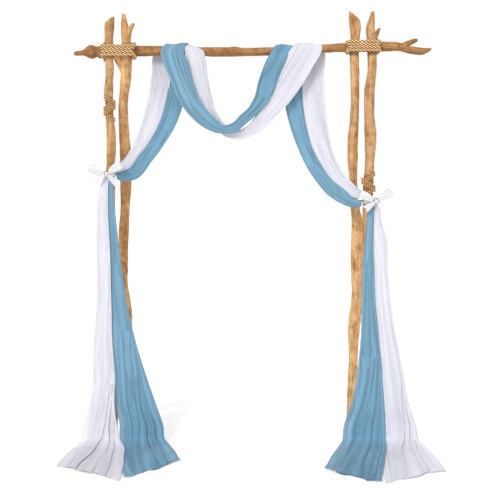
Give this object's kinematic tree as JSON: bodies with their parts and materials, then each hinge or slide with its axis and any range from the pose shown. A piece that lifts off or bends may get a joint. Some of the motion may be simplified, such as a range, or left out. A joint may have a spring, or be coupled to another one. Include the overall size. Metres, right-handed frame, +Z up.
{
  "type": "draped wedding arch",
  "caption": "Free-standing driftwood arch with a rope-lashed crossbeam, draped with blue and white chiffon swags, ribbon bows and floor trains.",
  "frame": {"origin": "on the floor at the middle of the footprint, trains included", "axes": "+Z up, the arch is seen from the front along +Y, +X to the viewer's right, the crossbeam runs along X"},
  "size_m": [1.8731, 0.8427, 2.1362],
  "materials": {
    "driftwood": "weathered bare wood",
    "rope": "twisted natural fibre",
    "white_chiffon": "sheer matte weave",
    "blue_chiffon": "sheer matte weave",
    "ribbon": "sheer organza"
  },
  "bodies": {
    "root": {"left_outer_post": "driftwood", "left_inner_post": "driftwood", "right_inner_post": "driftwood", "right_outer_post": "driftwood", "crossbeam": "driftwood", "left_beam_lashing": "rope", "right_beam_lashing": "rope", "left_post_binding": "rope", "right_post_binding": "rope", "left_white_swag": "white_chiffon", "right_white_swag": "white_chiffon", "middle_white_swag": "white_chiffon", "left_white_tail": "white_chiffon", "right_white_tail": "white_chiffon", "left_white_train": "white_chiffon", "right_white_train": "white_chiffon", "left_blue_swag": "blue_chiffon", "right_blue_swag": "blue_chiffon", "middle_blue_swag": "blue_chiffon", "left_blue_tail": "blue_chiffon", "right_blue_tail": "blue_chiffon", "left_blue_train": "blue_chiffon", "right_blue_train": "blue_chiffon", "left_tie_band": "ribbon", "left_bow_knot": "ribbon", "left_bow_loops": "ribbon", "left_bow_tails": "ribbon", "right_tie_band": "ribbon", "right_bow_knot": "ribbon", "right_bow_loops": "ribbon", "right_bow_tails": "ribbon"}
  },
  "joints": []
}
